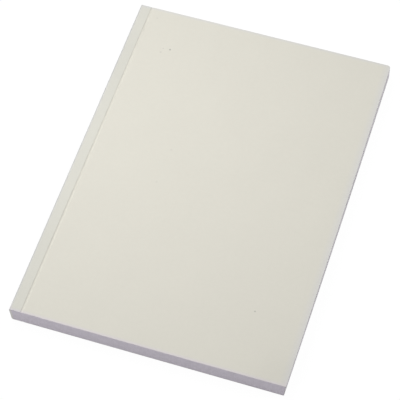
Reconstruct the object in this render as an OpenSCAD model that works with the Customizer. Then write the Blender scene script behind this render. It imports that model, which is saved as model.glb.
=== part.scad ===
// Softcover notebook: a perfect-bound block of loose leaves in one wrap of scored card.
// X runs from the spine to the fore edge, Y from the tail to the head, Z up through the closed book.
// The origin is under the middle of the book, on the plane that it lies on.

/* [Leaves] */
// Width of the closed book, from the outside of the spine to the fore edge
trim_w = 148.5; // [100:0.5:210]
// Height of the closed book, from the tail to the head
trim_h = 210; // [140:1:300]
// Number of leaves in the block
leaf_count = 96; // [40:4:160]
// Thickness of one leaf
leaf_t = 0.095; // [0.08:0.005:0.14]
// Depth of the nip between two leaves, where the trimming knife rounds their cut edges
nip_d = 0.03; // [0.01:0.01:0.05]
// Width of that nip
nip_w = 0.02; // [0.01:0.01:0.04]

/* [Cover] */
// Thickness of the cover card
card_t = 0.25; // [0.2:0.05:0.5]
// Distance from the outside of the spine to the middle of each hinge score
score_x = 6.8; // [6:0.1:10]
// Width of the channel that the score presses into the card
score_w = 1.6; // [0.8:0.1:2]
// Depth of that channel
score_d = 0.16; // [0.06:0.01:0.18]

/* [Binding] */
// Thickness of the adhesive on the spine, which is also the inner radius of the cover's folds
glue_t = 0.6; // [0.4:0.1:1.2]
// Thickness of the adhesive film between the outer leaves and the hinge strips
film_t = 0.05; // [0.05:0.01:0.2]
// Distance by which that film stops short of the score's channel
film_gap = 0.6; // [0.2:0.1:1.5]
// Distance from one notch in the milled spine to the next
notch_pitch = 6; // [4:0.5:10]
// Width of a notch
notch_w = 1; // [0.6:0.1:1.6]
// Depth of a notch into the leaves
notch_d = 1.2; // [0.6:0.1:2]

/* [Hidden] */
$fn = 180;

// Colours of the card, the leaves and the adhesive
card_colour = [0.87, 0.86, 0.80];
leaf_colour = [0.89, 0.87, 0.92];
glue_colour = [0.89, 0.88, 0.86];

// Heights through the closed book, and distances from the outside of its spine
block_t = leaf_count * leaf_t;
block_z = card_t + film_t;
book_t = block_t + 2 * block_z;
block_x = card_t + glue_t;
film_end_x = score_x - score_w / 2 - film_gap;
// Radius of the rule that presses the score, from the channel's width and depth
score_r = (pow(score_w / 2, 2) + pow(score_d, 2)) / (2 * score_d);
notch_count = floor(trim_h / notch_pitch);
// Paper left outside the trimmed size before the book is cut
waste = 3;

// Runs a section from tail to head. Its x is the distance from the outside of the spine, its y the height.
module along_spine(length = trim_h) {
    translate([-trim_w / 2, length / 2, 0])
        rotate([90, 0, 0])
            linear_extrude(length) children();
}

// Section of everything inside the cover's outer face less an inset, with both folds at the spine rounded
module wrapped_section(inset, reach) {
    translate([block_x, inset]) square([reach - block_x, book_t - 2 * inset]);
    translate([inset, block_x]) square([reach - inset, book_t - 2 * block_x]);
    for (z = [block_x, book_t - block_x])
        translate([block_x, z]) circle(r = block_x - inset);
}

// Section of the one sheet of card, wrapped round the spine and scored front and back
module card_section() {
    difference() {
        wrapped_section(0, trim_w);
        wrapped_section(card_t, trim_w + waste);
        for (z = [score_d - score_r, book_t - score_d + score_r])
            translate([score_x, z]) circle(r = score_r);
    }
}

// The leaves before trimming, milled flat and notched across the spine so that the adhesive grips them
module milled_stack() {
    translate([-trim_w / 2, 0, block_z])
        linear_extrude(block_t)
            difference() {
                translate([block_x, -trim_h / 2 - waste])
                    square([trim_w, trim_h + 2 * waste]);
                for (i = [0 : notch_count - 1])
                    translate([block_x - waste, (i - (notch_count - 1) / 2) * notch_pitch - notch_w / 2])
                        square([waste + notch_d, notch_w]);
            }
}

// Outline of a trimmed edge from bottom to top, with a nip between each leaf and the next.
// at is where the edge stands, and inward is the sign of the way into the leaves.
function cut_edge(at, inward) = [
    [at, 0],
    for (i = [1 : leaf_count - 1], step = [-1 : 1])
        [at + (step == 0 ? inward * nip_d : 0), block_z + i * leaf_t + step * nip_w / 2],
    [at, book_t]
];

function backwards(points) = [for (i = [len(points) - 1 : -1 : 0]) points[i]];

module page_block() {
    color(leaf_colour)
        intersection() {
            milled_stack();
            along_spine(trim_h + 2 * waste)
                polygon(concat([[0, book_t], [0, 0]], cut_edge(trim_w, -1)));
            rotate([90, 0, 90])
                linear_extrude(trim_w + 2 * waste, center = true)
                    polygon(concat(cut_edge(trim_h / 2, -1), backwards(cut_edge(-trim_h / 2, 1))));
        }
}

// The adhesive fills what the milled leaves leave open inside the wrap, as far as the film reaches
module spine_glue() {
    color(glue_colour)
        difference() {
            along_spine() wrapped_section(card_t, film_end_x);
            milled_stack();
        }
}

// The spine panel, its two folds and the two glued hinge strips, as far as the scores
module cover_spine() {
    color(card_colour)
        along_spine()
            intersection() {
                card_section();
                square([score_x, book_t]);
            }
}

// A free panel of the cover, from its score to the fore edge
module cover_panel(from_z) {
    color(card_colour)
        along_spine()
            intersection() {
                card_section();
                translate([score_x, from_z]) square([trim_w - score_x, book_t / 2]);
            }
}

module front_cover() {
    cover_panel(book_t / 2);
}

module back_cover() {
    cover_panel(0);
}

page_block();
spine_glue();
cover_spine();
front_cover();
back_cover();
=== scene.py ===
import math

import bmesh
import bpy
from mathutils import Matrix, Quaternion, Vector


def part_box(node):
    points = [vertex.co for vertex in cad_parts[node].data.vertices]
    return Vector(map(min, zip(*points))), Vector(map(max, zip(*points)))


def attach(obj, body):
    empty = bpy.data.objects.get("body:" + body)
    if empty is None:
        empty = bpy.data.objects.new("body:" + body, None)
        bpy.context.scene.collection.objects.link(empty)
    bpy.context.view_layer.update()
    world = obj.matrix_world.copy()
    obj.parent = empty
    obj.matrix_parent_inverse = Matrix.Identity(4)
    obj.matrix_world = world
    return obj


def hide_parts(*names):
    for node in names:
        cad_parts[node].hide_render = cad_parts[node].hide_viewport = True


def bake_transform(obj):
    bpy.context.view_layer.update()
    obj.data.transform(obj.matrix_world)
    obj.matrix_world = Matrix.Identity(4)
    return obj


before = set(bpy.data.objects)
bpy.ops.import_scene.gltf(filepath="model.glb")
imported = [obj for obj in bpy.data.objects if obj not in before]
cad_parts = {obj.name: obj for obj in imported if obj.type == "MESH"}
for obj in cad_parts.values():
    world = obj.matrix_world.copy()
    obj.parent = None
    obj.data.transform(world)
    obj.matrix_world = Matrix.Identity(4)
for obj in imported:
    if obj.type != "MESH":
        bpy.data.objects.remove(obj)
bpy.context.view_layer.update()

# The view: a long lens looks down on the front cover from over the tail and the fore edge, about
# 0.96 m away. It is turned a little about its own axis, and has no shift and no blur.
eye = Vector((0.16696, -0.49974, 0.81098))
aim = Vector((-0.00297, -0.00601, 0.0))
roll = math.radians(-1.27)
camera_data = bpy.data.cameras.new("camera")
camera_data.sensor_width = 36
camera_data.lens = 160.7
camera = bpy.data.objects.new("camera", camera_data)
camera.location = eye
camera.rotation_mode = "QUATERNION"
camera.rotation_quaternion = (aim - eye).to_track_quat("-Z", "Y") @ Quaternion((0, 0, 1), roll)
bpy.context.collection.objects.link(camera)
bpy.context.scene.camera = camera
bpy.context.scene.view_settings.view_transform = "Standard"

# The leaves: sheets of plain uncoated paper, stacked, milled flat and notched across the spine so
# that the adhesive grips them, and cut flush on the other three sides by one stroke of the knife.
# This copy is a little out of true: its long sides lean in to the foot, and the fore edge is bowed.
MM = 0.001
leaf_low, leaf_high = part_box("page_block")
leaf_count = 96
leaf_pitch = (leaf_high.z - leaf_low.z) / leaf_count
leaf_share = 0.94
leaf_thickness = leaf_share * leaf_pitch
leaf_stray = 0.014 * MM
fore_steps = 16
notch_pitch = 6 * MM
notch_width = 1 * MM
notch_depth = 1.2 * MM
leaf_white = (0.82, 0.77, 0.852)
# The fore edge has yellowed from light and handling
fore_yellowing = (0.955, 0.995, 0.90)
# What the fore edge lacks to the full width at the head and at the tail, and its bow between them,
# at the top of the book and at its foot. At the foot the spine leans in too.
top_head_lack, top_tail_lack, top_bow = 0.74 * MM, 0.02 * MM, 0.25 * MM
foot_head_lack, foot_tail_lack, foot_bow = 0.90 * MM, 0.74 * MM, 0.33 * MM
spine_foot_lack = 0.72 * MM
# The tail is bowed at the top: what it lacks at the fore edge, and where along it it lacks nothing
tail_bow = 0.2 * MM
tail_bow_at = -15 * MM
# The corners at the fore edge are blunt. The one at the head is worn the most, and more towards the top
tail_corner_blunt = 0.5 * MM
head_corner_blunt = 0.7 * MM
head_corner_wear = 1.0 * MM
corner_steps = 4
spine_low, spine_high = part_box("cover_spine")
book_left = spine_low.x
book_high = spine_high.z
score_at = spine_high.x


def ease(value, low, high):
    """0 below low and 1 above high, with a smooth rise between."""
    t = min(1.0, max(0.0, (value - low) / (high - low)))
    return t * t * (3 - 2 * t)


def evenly(start, end, steps):
    """Values from start to end, both included."""
    return [start + (end - start) * i / steps for i in range(steps + 1)]


def as_bound(x, y, z):
    """A point of the true notebook, moved to where it lies in this copy."""
    foot = 1 - z / book_high
    down = (leaf_high.y - y) / (leaf_high.y - leaf_low.y)
    bow = 4 * down * (1 - down)
    top_lack = top_head_lack + (top_tail_lack - top_head_lack) * down - top_bow * bow
    foot_lack = foot_head_lack + (foot_tail_lack - foot_head_lack) * down - foot_bow * bow
    fore = max(0.0, (x - score_at) / (leaf_high.x - score_at))
    spine = 1 - ease(x, book_left, score_at)
    lack = top_lack + (foot_lack - top_lack) * foot
    tail_lack = tail_bow * ((x - tail_bow_at) / (leaf_high.x - tail_bow_at)) ** 2 * (1 - foot)
    return x + spine * foot * spine_foot_lack - fore * lack, y + tail_lack * max(0.0, down) ** 4, z


def blunt(x, y, z):
    """A point moved so that the two corners at the fore edge are rounded in plan."""
    radius = tail_corner_blunt
    if y > 0:
        radius = head_corner_blunt + head_corner_wear * ease(z, 0.0, book_high)
    in_x = x - (leaf_high.x - radius)
    in_y = abs(y) - (leaf_high.y - radius)
    if in_x <= 0 or in_y <= 0:
        return x, y
    pull = max(in_x, in_y) / math.hypot(in_x, in_y)
    return leaf_high.x - radius + in_x * pull, math.copysign(leaf_high.y - radius + in_y * pull, y)


def bind(mesh):
    """Moves every point of a mesh to where it lies in this copy."""
    for vertex in mesh.vertices:
        x, y, z = vertex.co
        vertex.co = as_bound(*blunt(x, y, z), z)


def leaf_outline():
    """Corners of one leaf, with the notches down its spine side."""
    left = leaf_low.x + leaf_stray
    right = leaf_high.x - leaf_stray
    tail = leaf_low.y + leaf_stray
    head = leaf_high.y - leaf_stray
    notches = math.floor((leaf_high.y - leaf_low.y) / notch_pitch + 1e-6)
    corner = head_corner_blunt + head_corner_wear
    near = [corner * i / corner_steps for i in range(corner_steps + 1)]
    fore = [tail + n for n in near] + evenly(tail + corner, head - corner, fore_steps)[1:-1]
    fore += [head - n for n in reversed(near)]
    corners = [(left, tail)] + [(right - n, tail) for n in reversed(near[1:])]
    corners += [(right, y) for y in fore] + [(right - n, head) for n in near[1:]] + [(left, head)]
    for i in reversed(range(notches)):
        middle = (i - (notches - 1) / 2) * notch_pitch
        upper = middle + notch_width / 2
        lower = middle - notch_width / 2
        corners += [(left, upper), (left + notch_depth, upper)]
        corners += [(left + notch_depth, lower), (left, lower)]
    return corners


def leaf_mesh():
    """One flat leaf with its underside at the foot of the block."""
    bm = bmesh.new()
    under = [bm.verts.new((x, y, leaf_low.z)) for x, y in leaf_outline()]
    upper = [bm.verts.new((x, y, leaf_low.z + leaf_thickness)) for x, y in leaf_outline()]
    bm.faces.new(reversed(under))
    bm.faces.new(upper)
    for i in range(len(under)):
        j = (i + 1) % len(under)
        bm.faces.new((under[i], under[j], upper[j], upper[i]))
    bmesh.ops.triangulate(bm, faces=[f for f in bm.faces if len(f.verts) > 4])
    mesh = bpy.data.meshes.new("leaf")
    bm.to_mesh(mesh)
    bm.free()
    return mesh


class Nodes:
    """Adds nodes to a tree and joins them as they are added."""

    def __init__(self, tree):
        self.tree = tree

    def add(self, kind, inputs=None, **settings):
        """A node of that kind. A value among inputs is a number, a vector or another node's output."""
        node = self.tree.nodes.new(kind)
        for key, value in settings.items():
            setattr(node, key, value)
        for key, value in (inputs or {}).items():
            if isinstance(value, bpy.types.NodeSocket):
                self.tree.links.new(value, node.inputs[key])
            elif node.inputs[key].type == "RGBA":
                node.inputs[key].default_value = (*value, 1)
            else:
                node.inputs[key].default_value = value
        return node

    def math(self, operation, a, b=0.0):
        """The result of a sum on two numbers or outputs."""
        return self.add("ShaderNodeMath", {0: a, 1: b}, operation=operation).outputs[0]

    def noise(self, place, scale, detail=2.0, roughness=0.5):
        """A value from 0 to 1 that wanders from place to place, scale times in a metre."""
        inputs = {"Vector": place, "Scale": scale, "Detail": detail, "Roughness": roughness}
        return self.add("ShaderNodeTexNoise", inputs).outputs[0]

    def stretch(self, place, x, y, z):
        """A place with its coordinates multiplied, so that a pattern on it is drawn out."""
        inputs = {0: place, 1: (x, y, z)}
        return self.add("ShaderNodeVectorMath", inputs, operation="MULTIPLY").outputs[0]

    def span(self, value, low, high, to_low=0.0, to_high=1.0):
        """A value carried from one range to another and held inside it."""
        inputs = {0: value, 1: low, 2: high, 3: to_low, 4: to_high}
        return self.add("ShaderNodeMapRange", inputs).outputs[0]

    def vary(self, noise, to_low, to_high):
        """A noise made into a value that varies from one number to another."""
        return self.span(noise, 0.3, 0.7, to_low, to_high)

    def mix(self, share, a, b, blend="MIX"):
        """Two colours mixed."""
        inputs = {0: share, 6: a, 7: b}
        return self.add("ShaderNodeMix", inputs, data_type="RGBA", blend_type=blend).outputs[2]

    def shade(self, colour, factor):
        """A colour made darker or lighter by a factor, or a direction made longer or shorter."""
        inputs = {0: colour, "Scale": factor}
        return self.add("ShaderNodeVectorMath", inputs, operation="SCALE").outputs[0]


def new_material(name):
    """A material with its nodes, ready for a surface, and a place on the object to draw patterns by."""
    material = bpy.data.materials.new(name)
    material.use_nodes = True
    nodes = Nodes(material.node_tree)
    surface = material.node_tree.nodes["Principled BSDF"]
    place = nodes.add("ShaderNodeTexCoord").outputs["Object"]
    return material, nodes, surface, place


def leaf_paper():
    """Uncoated white paper with a faint lavender cast. Its cut edges show each sheet and the knife."""
    material, nodes, surface, place = new_material("leaf_paper")
    cloud = nodes.noise(place, 220, 3)
    fibre = nodes.noise(nodes.stretch(place, 1, 0.3, 1), 6000, 3, 0.7)
    tone = nodes.add("ShaderNodeAttribute", attribute_name="leaf_tone").outputs["Fac"]
    knife = nodes.noise(nodes.stretch(place, 1, 1, 0.06), 2600, 2)
    normal = nodes.add("ShaderNodeNewGeometry").outputs["True Normal"]
    facing = nodes.add("ShaderNodeSeparateXYZ", {0: normal}).outputs
    cut = nodes.math("LESS_THAN", nodes.math("ABSOLUTE", facing["Z"]), 0.5)
    at_fore = nodes.span(facing["X"], 0.5, 0.9)
    clouded = nodes.vary(cloud, 0.992, 1.0)
    sheet = nodes.math("ADD", clouded, nodes.vary(fibre, -0.012, 0.012))
    toned = nodes.span(tone, 0, 1, 0.93, 1.0)
    edge = nodes.math("ADD", toned, nodes.vary(knife, -0.03, 0.03))
    factor = nodes.add("ShaderNodeMix", {0: cut, 2: sheet, 3: edge}, data_type="FLOAT").outputs[0]
    white = nodes.mix(at_fore, leaf_white, fore_yellowing, "MULTIPLY")
    nodes.tree.links.new(nodes.shade(white, factor), surface.inputs["Base Color"])
    nodes.tree.links.new(nodes.vary(fibre, 0.82, 0.95), surface.inputs["Roughness"])
    surface.inputs["Specular IOR Level"].default_value = 0.25
    bump = nodes.add("ShaderNodeBump", {"Strength": 0.25, "Distance": 0.01 * MM, "Height": fibre})
    nodes.tree.links.new(bump.outputs[0], surface.inputs["Normal"])
    return material


def stacking_tree():
    """Stacks copies of a leaf. Each strays a few microns out of line and has a tone of its own."""
    tree = bpy.data.node_groups.new("leaf_stack", "GeometryNodeTree")
    tree.interface.new_socket("Leaf", in_out="INPUT", socket_type="NodeSocketGeometry")
    tree.interface.new_socket("Leaves", in_out="INPUT", socket_type="NodeSocketInt")
    tree.interface.new_socket("Pitch", in_out="INPUT", socket_type="NodeSocketFloat")
    tree.interface.new_socket("Stray", in_out="INPUT", socket_type="NodeSocketFloat")
    tree.interface.new_socket("Seed", in_out="INPUT", socket_type="NodeSocketInt")
    tree.interface.new_socket("Paper", in_out="INPUT", socket_type="NodeSocketMaterial")
    tree.interface.new_socket("Block", in_out="OUTPUT", socket_type="NodeSocketGeometry")
    nodes = Nodes(tree)
    given = nodes.add("NodeGroupInput")
    step = nodes.add("ShaderNodeCombineXYZ", {"Z": given.outputs["Pitch"]}).outputs[0]
    rises = nodes.add("GeometryNodeMeshLine",
                      {"Count": given.outputs["Leaves"], "Offset": step}, mode="OFFSET")
    stack = nodes.add("GeometryNodeInstanceOnPoints",
                      {"Points": rises.outputs[0], "Instance": given.outputs["Leaf"]})
    slip = nodes.add("FunctionNodeRandomValue", data_type="FLOAT_VECTOR")
    tree.links.new(nodes.shade((-1, -1, 0), given.outputs["Stray"]), slip.inputs[0])
    tree.links.new(nodes.shade((1, 1, 0), given.outputs["Stray"]), slip.inputs[1])
    tree.links.new(given.outputs["Seed"], slip.inputs["Seed"])
    moved = nodes.add("GeometryNodeTranslateInstances",
                      {"Instances": stack.outputs[0], "Translation": slip.outputs[0]})
    tone = nodes.add("FunctionNodeRandomValue", {"Seed": given.outputs["Seed"]}, data_type="FLOAT")
    toned = nodes.add("GeometryNodeStoreNamedAttribute", {"Geometry": moved.outputs[0], "Name": "leaf_tone"},
                      data_type="FLOAT", domain="INSTANCE")
    tree.links.new(tone.outputs[1], toned.inputs["Value"])
    real = nodes.add("GeometryNodeRealizeInstances", {"Geometry": toned.outputs[0]})
    papered = nodes.add("GeometryNodeSetMaterial",
                        {"Geometry": real.outputs[0], "Material": given.outputs["Paper"]})
    nodes.add("NodeGroupOutput", {"Block": papered.outputs[0]})
    return tree


def made_by_nodes(name, seed_mesh, tree, values):
    """A plain mesh object from a Geometry Nodes tree, its inputs set before it is first evaluated."""
    source = bpy.data.objects.new(name + "_source", seed_mesh)
    bpy.context.collection.objects.link(source)
    modifier = source.modifiers.new("nodes", "NODES")
    modifier.node_group = tree
    for item in tree.interface.items_tree:
        if item.in_out == "INPUT" and item.name in values:
            modifier[item.identifier] = values[item.name]
    depsgraph = bpy.context.evaluated_depsgraph_get()
    mesh = bpy.data.meshes.new_from_object(source.evaluated_get(depsgraph))
    bpy.data.objects.remove(source)
    mesh.name = name
    piece = bpy.data.objects.new(name, mesh)
    bpy.context.collection.objects.link(piece)
    return piece


leaves = made_by_nodes("leaves", leaf_mesh(), stacking_tree(), {
    "Leaves": leaf_count,
    "Pitch": leaf_pitch,
    "Stray": leaf_stray,
    "Seed": 7,
    "Paper": leaf_paper(),
})
bind(leaves.data)
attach(leaves, "book_block")
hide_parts("page_block")


# The binding adhesive: hot-melt run over the milled spine and into its notches, with a thin film on
# each side under the cover. It sets cloudy and off-white, and leans with the leaves that it holds.
glue_white = (0.75, 0.73, 0.69)
card_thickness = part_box("back_cover")[1].z
fold_radius = 0.85 * MM
foot_fold_radius = 1.15 * MM
# A point of the adhesive lies on its rounded corner if it is within this of the quarter circle's two
# ends, and at least this share of the radius away from its middle
corner_slack = 0.01 * MM
corner_share = 0.9


def hot_melt():
    """Set adhesive: cloudy, with small bubbles, and smoother than the paper."""
    material, nodes, surface, place = new_material("hot_melt")
    cloud = nodes.noise(place, 500, 3)
    bubbles = nodes.add("ShaderNodeTexVoronoi", {"Vector": place, "Scale": 1500}).outputs["Distance"]
    cloudy = nodes.vary(cloud, 0.93, 1.04)
    factor = nodes.math("MULTIPLY", cloudy, nodes.span(bubbles, 0.0, 0.25, 0.9, 1.0))
    nodes.tree.links.new(nodes.shade(glue_white, factor), surface.inputs["Base Color"])
    nodes.tree.links.new(nodes.vary(cloud, 0.35, 0.5), surface.inputs["Roughness"])
    bump = nodes.add("ShaderNodeBump", {"Strength": 0.3, "Distance": 0.02 * MM, "Height": bubbles})
    nodes.tree.links.new(bump.outputs[0], surface.inputs["Normal"])
    return material


def fill_foot_fold(mesh):
    """Rounds the adhesive's corner at the foot to the wider fold that the card has there."""
    inner_radius = fold_radius - card_thickness
    grow = (foot_fold_radius - card_thickness) / inner_radius
    for vertex in mesh.vertices:
        in_x = book_left + fold_radius - vertex.co.x
        in_z = fold_radius - vertex.co.z
        if min(in_x, in_z) < -corner_slack or math.hypot(in_x, in_z) < corner_share * inner_radius:
            continue
        vertex.co.x = book_left + foot_fold_radius - in_x * grow
        vertex.co.z = foot_fold_radius - in_z * grow


adhesive = bpy.data.objects.new("adhesive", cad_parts["spine_glue"].data.copy())
bpy.context.collection.objects.link(adhesive)
adhesive_bm = bmesh.new()
adhesive_bm.from_mesh(adhesive.data)
bmesh.ops.remove_doubles(adhesive_bm, verts=adhesive_bm.verts, dist=0.001 * MM)
bmesh.ops.recalc_face_normals(adhesive_bm, faces=adhesive_bm.faces)
adhesive_bm.to_mesh(adhesive.data)
adhesive_bm.free()
fill_foot_fold(adhesive.data)
bind(adhesive.data)
adhesive.data.materials.clear()
adhesive.data.materials.append(hot_melt())
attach(adhesive, "book_block")
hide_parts("spine_glue")


# The cover's spine: the middle of one sheet of off-white card, folded round the spine with two
# rounded folds, and glued to the outer leaves by a strip on each side as far as the hinge score.
# It is pressed down a little towards the score, and the knife has left its head and tail cut raw.
card_tail = spine_low.y
card_head = spine_high.y
fold_steps = 12
score_steps = 16
strip_steps = 12
spine_steps = 6
# Distances from a cut end to the rows of points near it, and how the stretch between is divided
near_end = [n * MM for n in (0.0, 0.1, 0.25, 0.45, 0.7, 1.0, 1.5, 2.0)]
plain_from = 5 * MM
length_steps = 40
sharp_edge = math.radians(50)
strip_drop = 0.05 * MM
groove_depth = 0.2 * MM
groove_push = 0.045 * MM
groove_left = score_at - 0.75 * MM
foot_left = score_at - 0.15 * MM
foot_right = score_at + 0.30 * MM
groove_right = score_at + 0.90 * MM
groove_margin = 0.3 * MM
glue_ends = groove_left - 0.6 * MM
card_white = (0.74, 0.72, 0.64)
raw_white = (0.70, 0.68, 0.70)
# Painted shade: the glued strip is greyer than the free panels
strip_shade_tint = (0.955, 0.968, 0.985)
# The card is greyer along its trimmed edges and next to the spine fold, over these widths; next to the fold
# the greying is painted shade.
# Painted shade darkens the score and the folds, and a painted highlight lightens a ridge beside the score,
# the most at the tail.
edge_grey = (0.964, 0.981, 1.055)
tail_grey = (0.991, 0.956, 1.092)
fore_grey_width = 4 * MM
fold_grey_core, fold_grey_width = 0.32 * MM, 1.6 * MM
end_grey_width = 2.2 * MM
# Painted shade in the score and along the folds: how dark, and over what widths
score_shade = 0.15
score_shade_core, score_shade_reach = 0.1 * MM, 0.5 * MM
fold_shade = 0.04
fold_shade_core, fold_shade_reach = 0.6 * MM, 1.4 * MM
ridge_at = score_at + 0.65 * MM
ridge_half_width = 0.45 * MM
# Painted highlight on the ridge beside the score: how strong, and how it grows towards the tail
ridge_highlight = 1.3
highlight_gain = 2.2
highlight_least, highlight_most = 0.012, 0.040
# A dull stretch of the glued strip: its middle, how far it is dullest and how far it reaches each
# way, and how much light it takes away
dull_middle = 62 * MM
dull_core, dull_reach = 9 * MM, 30 * MM
dull_loss = 0.035
# Marks on the front cover's outer face: where each lies, its radius, of which a share is fully dark,
# and how much light it takes away. The last is painted shade over the corner at the tail and the fore edge.
outer_skin = 0.075 * MM
mark_core_share = 0.4
marks = [
    ((-48.1 * MM, 79.0 * MM), 0.70 * MM, 0.42),
    ((46.9 * MM, -68.1 * MM), 0.60 * MM, 0.30),
    ((-52.6 * MM, 75.8 * MM), 0.75 * MM, 0.11),
    ((-52.0 * MM, 78.7 * MM), 0.60 * MM, 0.12),
    ((-62.3 * MM, 98.3 * MM), 0.70 * MM, 0.08),
    ((-25.8 * MM, 14.2 * MM), 0.90 * MM, 0.06),
    ((-26.8 * MM, -7.9 * MM), 0.90 * MM, 0.045),
    ((74.0 * MM, -104.5 * MM), 24 * MM, 0.035),
]


def pressed(x):
    """How far the card's outer face lies below the flat at x."""
    if x <= groove_left:
        return strip_drop * ease(x, book_left + fold_radius, groove_left)
    if x <= foot_left:
        return strip_drop + (groove_depth - strip_drop) * ease(x, groove_left, foot_left)
    return groove_depth * (1 - ease(x, foot_right, groove_right))


def card_faces(x, upward):
    """Heights of the outer and the inner face at x, on the front where upward is true."""
    outer = book_high - pressed(x)
    inner = book_high - card_thickness - groove_push * pressed(x) / groove_depth
    return (outer, inner) if upward else (book_high - outer, book_high - inner)


def along_y():
    """Stations from the tail to the head, closer together at the cut edges."""
    middle = evenly(card_tail + plain_from, card_head - plain_from, length_steps)
    return [card_tail + n for n in near_end] + middle + [card_head - n for n in reversed(near_end)]


def greyed_at(x, y):
    """1 at the trimmed edges of the card, falling to 0 a little way in."""
    fore = 1 - ease(leaf_high.x - x, 0.0, fore_grey_width)
    # Next to the spine fold this greying is painted shade
    fold = 1 - ease(x - book_left, fold_grey_core, fold_grey_width)
    end = 1 - ease(card_head - abs(y), 0.0, end_grey_width)
    return max(fore, fold, end)


def highlight_growth(y):
    """How the painted highlight grows from the head to the tail."""
    return 1 + highlight_gain * (card_head - y) / (card_head - card_tail)


def card_sheet(name, section, shape=blunt):
    """A sheet of card lofted from tail to head. Each row of section is its outer point, its inner
    point, how far it is glued down, how much painted highlight it takes and how much painted shade.
    shape moves each point in plan."""
    stations = along_y()
    vertices = []
    looks = {"glued": [], "painted_highlight": [], "painted_shade": [], "greyed": []}
    for y in stations:
        for outer, inner, glue, highlight, painted_shade in section:
            for x, z in (outer, inner):
                vertices.append(as_bound(*shape(x, y, z), z))
                for label, value in zip(looks, (glue, highlight * highlight_growth(y), painted_shade, greyed_at(x, y))):
                    looks[label].append(value)
    row = 2 * len(section)
    faces = []
    for j in range(len(stations) - 1):
        for i in range(len(section) - 1):
            a = j * row + 2 * i
            faces.append((a, a + row, a + row + 2, a + 2))
            faces.append((a + 1, a + 3, a + row + 3, a + row + 1))
        last = j * row + row - 2
        faces.append((j * row, j * row + 1, (j + 1) * row + 1, (j + 1) * row))
        faces.append((last, last + row, last + row + 1, last + 1))
    skin = len(faces)
    top = (len(stations) - 1) * row
    for i in range(len(section) - 1):
        a = 2 * i
        faces.append((a, a + 2, a + 3, a + 1))
        faces.append((top + a, top + a + 1, top + a + 3, top + a + 2))
    mesh = bpy.data.meshes.new(name)
    mesh.from_pydata(vertices, [], faces)
    for label, values in looks.items():
        mesh.attributes.new(label, "FLOAT", "POINT").data.foreach_set("value", values)
    bm = bmesh.new()
    bm.from_mesh(mesh)
    bmesh.ops.recalc_face_normals(bm, faces=bm.faces)
    for face in bm.faces:
        face.smooth = True
    for edge in bm.edges:
        edge.smooth = edge.calc_face_angle(0) < sharp_edge
    bm.to_mesh(mesh)
    bm.free()
    cut = mesh.attributes.new("cut", "FLOAT", "FACE")
    cut.data.foreach_set("value", [1.0 if i >= skin else 0.0 for i in range(len(faces))])
    piece = bpy.data.objects.new(name, mesh)
    bpy.context.collection.objects.link(piece)
    return piece


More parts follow.
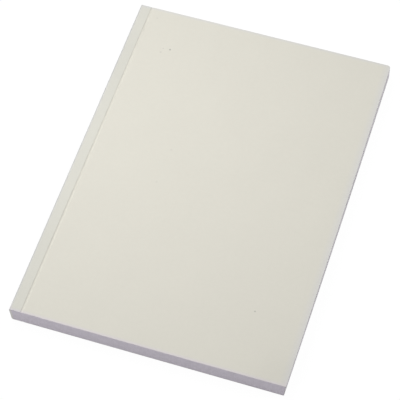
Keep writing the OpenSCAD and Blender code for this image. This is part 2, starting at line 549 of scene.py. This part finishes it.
def cover_card():
    """Uncoated off-white card: clouded, finely fibred, greyer near a trimmed edge, raw where cut and marked
    in places on the front.
    Painted shade greys the glued strip and darkens the score and the folds, and a painted highlight lightens
    a ridge by the score."""
    material, nodes, surface, place = new_material("cover_card")
    cloud = nodes.noise(place, 55, 3)
    formation = nodes.noise(place, 420, 3)
    fibre = nodes.noise(nodes.stretch(place, 1, 0.35, 1), 5200, 3, 0.7)
    glued = nodes.add("ShaderNodeAttribute", attribute_name="glued").outputs["Fac"]
    painted_highlight = nodes.add("ShaderNodeAttribute", attribute_name="painted_highlight").outputs["Fac"]
    painted_shade = nodes.add("ShaderNodeAttribute", attribute_name="painted_shade").outputs["Fac"]
    greyed = nodes.add("ShaderNodeAttribute", attribute_name="greyed").outputs["Fac"]
    cut = nodes.add("ShaderNodeAttribute", attribute_name="cut").outputs["Fac"]
    factor = nodes.vary(cloud, 0.99, 1.002)
    factor = nodes.math("ADD", factor, nodes.vary(formation, -0.006, 0.006))
    factor = nodes.math("ADD", factor, nodes.vary(fibre, -0.014, 0.014))
    streaks = nodes.noise(nodes.stretch(place, 1, 0.2, 1), 900, 3)
    highlight_amount = nodes.vary(streaks, highlight_least, highlight_most)
    # A painted highlight lightens the ridge beside the score, the most at the tail
    factor = nodes.math("ADD", factor, nodes.math("MULTIPLY", painted_highlight, highlight_amount))
    uneven = nodes.noise(nodes.stretch(place, 0.3, 1, 0.3), 22, 2)
    patchy = nodes.span(uneven, 0.35, 0.65, -0.012, 0.012)
    factor = nodes.math("ADD", factor, nodes.math("MULTIPLY", glued, patchy))
    parts = nodes.add("ShaderNodeSeparateXYZ", {0: place})
    from_dull = nodes.math("ABSOLUTE", nodes.math("SUBTRACT", parts.outputs["Y"], dull_middle))
    dull = nodes.span(from_dull, dull_core, dull_reach, dull_loss, 0.0)
    factor = nodes.math("SUBTRACT", factor, nodes.math("MULTIPLY", glued, dull))
    shade_patches = nodes.vary(nodes.noise(place, 260, 3), 0.6, 1.4)
    # Painted shade darkens the score and the folds
    factor = nodes.math("SUBTRACT", factor, nodes.math("MULTIPLY", painted_shade, shade_patches))
    # Painted shade greys the glued strip
    colour = nodes.mix(glued, card_white, strip_shade_tint, "MULTIPLY")
    at_tail = nodes.span(parts.outputs["Y"], card_tail, card_tail + 2 * end_grey_width, 1.0, 0.0)
    grey = nodes.mix(at_tail, edge_grey, tail_grey)
    colour = nodes.shade(nodes.mix(greyed, colour, grey, "MULTIPLY"), factor)
    plies = nodes.noise(nodes.stretch(place, 0.1, 0.1, 1), 24000, 2)
    raw = nodes.shade(raw_white, nodes.vary(plies, 0.94, 1.04))
    colour = nodes.mix(cut, colour, raw)
    on_front = nodes.math("GREATER_THAN", parts.outputs["Z"], book_high - outer_skin)
    level = nodes.stretch(place, 1, 1, 0)
    rag = nodes.vary(nodes.noise(place, 3000, 2), 0.7, 1.3)
    # The last mark is painted shade over the corner at the tail and the fore edge
    for (x, y), radius, loss in marks:
        away = nodes.add("ShaderNodeVectorMath", {0: level, 1: (x, y, 0)}, operation="DISTANCE")
        ragged = nodes.math("MULTIPLY", away.outputs["Value"], rag)
        dark = nodes.span(ragged, mark_core_share * radius, radius, loss, 0.0)
        keep = nodes.math("SUBTRACT", 1.0, nodes.math("MULTIPLY", dark, on_front))
        colour = nodes.shade(colour, keep)
    nodes.tree.links.new(colour, surface.inputs["Base Color"])
    nodes.tree.links.new(nodes.vary(fibre, 0.6, 0.75), surface.inputs["Roughness"])
    surface.inputs["Specular IOR Level"].default_value = 0.3
    relief = nodes.math("ADD", fibre, nodes.math("MULTIPLY", formation, 1.5))
    bump = nodes.add("ShaderNodeBump", {"Strength": 0.3, "Distance": 0.012 * MM, "Height": relief})
    nodes.tree.links.new(bump.outputs[0], surface.inputs["Normal"])
    return material


def score_shade_at(x):
    """Painted shade on the steeper side of the score."""
    middle = 0.5 * (groove_left + foot_left)
    return score_shade * (1 - ease(abs(x - middle), score_shade_core, score_shade_reach))


def strip_section(upward):
    """Rows of the glued strip from its score to the fold, on the front where upward is true."""
    rows = []
    fold_at = book_left + (fold_radius if upward else foot_fold_radius)
    places = evenly(score_at, groove_left - groove_margin, score_steps)[:-1]
    places += evenly(groove_left - groove_margin, fold_at, strip_steps)
    for x in places:
        outer, inner = card_faces(x, upward)
        glue = 1 - ease(x, glue_ends, score_at)
        in_fold = 1 - ease(x - book_left, fold_shade_core, fold_shade_reach)
        # Painted shade in the score and next to the fold
        rows.append(((x, outer), (x, inner), glue, 0.0, score_shade_at(x) + fold_shade * in_fold))
    return rows


def fold_section(upward):
    """Rows round a fold, from the strip to the spine panel."""
    rows = []
    outside = fold_radius if upward else foot_fold_radius
    for i in range(1, fold_steps + 1):
        turn = 0.5 * math.pi * i / fold_steps
        ends = []
        for radius in (outside, outside - card_thickness):
            x = book_left + outside - radius * math.sin(turn)
            z = book_high - outside + radius * math.cos(turn)
            ends.append((x, z if upward else book_high - z))
        # Painted shade all round the fold
        rows.append((ends[0], ends[1], 1.0, 0.0, fold_shade))
    return rows


def spine_section():
    """Rows of the whole wrap, from the front score round the spine to the back score."""
    front = strip_section(True) + fold_section(True)
    back = strip_section(False) + fold_section(False)
    panel = []
    for z in evenly(book_high - fold_radius, foot_fold_radius, spine_steps)[1:-1]:
        panel.append(((book_left, z), (book_left + card_thickness, z), 1.0, 0.0, 0.0))
    return front + panel + list(reversed(back))


card = cover_card()
card_spine = card_sheet("card_spine", spine_section())
card_spine.data.materials.append(card)
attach(card_spine, "book_block")
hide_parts("cover_spine")


# The front cover: the free panel of that same card, from the score to the fore edge. It isn't glued
# and opens by bending along the score. Its tail edge has two small nicks near that score.
bend_width = 0.9 * MM
bend_steps = 24
shoulder_steps = 6
panel_steps = 60
fore_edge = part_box("front_cover")[1].x
# Distances from the fore edge to the rows of points near it
near_fore = [n * MM for n in (0.0, 0.15, 0.3, 0.45, 0.7, 1.0, 1.5, 2.0)]
nick_half_width = 0.45 * MM
nick_depth = 0.3 * MM
nick_reach = 1.1 * MM
nicks = [-59.9 * MM, -57.7 * MM]


def nicked(x, y, z):
    """A point of the front panel, drawn back where the tail edge is nicked."""
    x, y = blunt(x, y, z)
    reach = ease(y, card_tail + nick_reach, card_tail)
    for middle in nicks:
        y += nick_depth * reach * (1 - ease(abs(x - middle), 0.0, nick_half_width))
    return x, y


def panel_section(upward):
    """Rows of a free panel from its score to the fore edge."""
    places = evenly(score_at, score_at + bend_width, bend_steps)[:-1]
    places += evenly(score_at + bend_width, groove_right + groove_margin, shoulder_steps)[:-1]
    places += evenly(groove_right + groove_margin, fore_edge - near_fore[-1], panel_steps)[:-1]
    places += [fore_edge - n for n in reversed(near_fore)]
    if upward:
        for middle in nicks:
            places += [middle + share * nick_half_width for share in (-1, -0.5, 0, 0.5, 1)]
    rows = []
    for x in sorted(places):
        outer, inner = card_faces(x, upward)
        glue = 1 - ease(x, glue_ends, score_at)
        # Painted highlight on the ridge beside the score
        highlight = ridge_highlight * (1 - ease(abs(x - ridge_at), 0.0, ridge_half_width))
        rows.append(((x, outer), (x, inner), glue, highlight, score_shade_at(x)))
    return rows


front_panel = card_sheet("front_panel", panel_section(True), nicked)
front_panel.data.materials.append(card)
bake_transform(front_panel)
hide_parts("front_cover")


# The back cover: the other free panel of the card, which the notebook lies on. It is trimmed with
# the front cover and the leaves in one stroke, and bends along a score of its own, without nicks.
back_panel = card_sheet("back_panel", panel_section(False))
back_panel.data.materials.append(card)
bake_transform(back_panel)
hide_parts("back_cover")


# The table: a wide white sheet that shows as white to the camera and in reflections, and keeps a
# faint shadow. To other rays it is a middle grey, which throws a moderate light up on the edges.
table_size = 6.0
table_glow = 0.96
table_shadow_share = 0.06
table_grey = 0.5
table_mesh = bpy.data.meshes.new("table")
half = table_size / 2
table_drop = 0.02 * MM
table_mesh.from_pydata([(-half, -half, -table_drop), (half, -half, -table_drop),
                        (half, half, -table_drop), (-half, half, -table_drop)], [], [(0, 1, 2, 3)])
table = bpy.data.objects.new("table", table_mesh)
bpy.context.collection.objects.link(table)


def seen_directly(nodes):
    """1 for what the camera sees, straight or in a reflection or through glass, and otherwise 0."""
    rays = nodes.add("ShaderNodeLightPath").outputs
    seen = nodes.math("MAXIMUM", rays["Is Camera Ray"], rays["Is Glossy Ray"])
    return nodes.math("MAXIMUM", seen, rays["Is Transmission Ray"])


def white_table():
    """A table that is white to the camera and a diffuse middle grey to everything else."""
    material = bpy.data.materials.new("white_table")
    material.use_nodes = True
    nodes = Nodes(material.node_tree)
    material.node_tree.nodes.remove(material.node_tree.nodes["Principled BSDF"])
    grey = nodes.add("ShaderNodeBsdfDiffuse", {"Color": (table_grey,) * 3}).outputs[0]
    shadowed = nodes.add("ShaderNodeBsdfDiffuse", {"Color": (table_shadow_share,) * 3}).outputs[0]
    glow = nodes.add("ShaderNodeEmission", {"Color": (1, 1, 1), "Strength": table_glow}).outputs[0]
    white = nodes.add("ShaderNodeAddShader", {0: glow, 1: shadowed}).outputs[0]
    shown = nodes.add("ShaderNodeMixShader", {0: seen_directly(nodes), 1: grey, 2: white}).outputs[0]
    output = material.node_tree.nodes["Material Output"]
    material.node_tree.links.new(shown, output.inputs["Surface"])
    return material


table_mesh.materials.append(white_table())


# The light: four soft lamps and an even sky. The key lamp stands high behind the head on the spine's
# side, the top lamp hangs over the spine, the fill lamp stands off the fore edge, and the front lamp
# is low, before the tail on the spine's side.
sky_strength = 0.32


def soft_lamp(name, place, size, power):
    """A square lamp aimed at the middle of the notebook."""
    data = bpy.data.lights.new(name, "AREA")
    data.size = size
    data.energy = power
    lamp = bpy.data.objects.new(name, data)
    lamp.location = place
    lamp.rotation_mode = "QUATERNION"
    lamp.rotation_quaternion = (-Vector(place)).to_track_quat("-Z", "Y")
    bpy.context.collection.objects.link(lamp)


soft_lamp("key_lamp", (-0.62, 0.8, 0.88), 0.35, 2.22)
soft_lamp("top_lamp", (-0.129, 0.038, 0.33), 0.25, 0.566)
soft_lamp("fill_lamp", (0.85, 0.3, 0.5), 0.4, 3.17)
soft_lamp("front_lamp", (-0.55, -0.85, 0.35), 0.4, 2.30)
world = bpy.data.worlds.new("sky")
bpy.context.scene.world = world
world.use_nodes = True
sky = Nodes(world.node_tree)
shown_and_given = {0: seen_directly(sky), 2: sky_strength, 3: 1.0}
brightness = sky.add("ShaderNodeMix", shown_and_given, data_type="FLOAT").outputs[0]
background = world.node_tree.nodes["Background"]
background.inputs["Color"].default_value = (1, 1, 1, 1)
world.node_tree.links.new(brightness, background.inputs["Strength"])
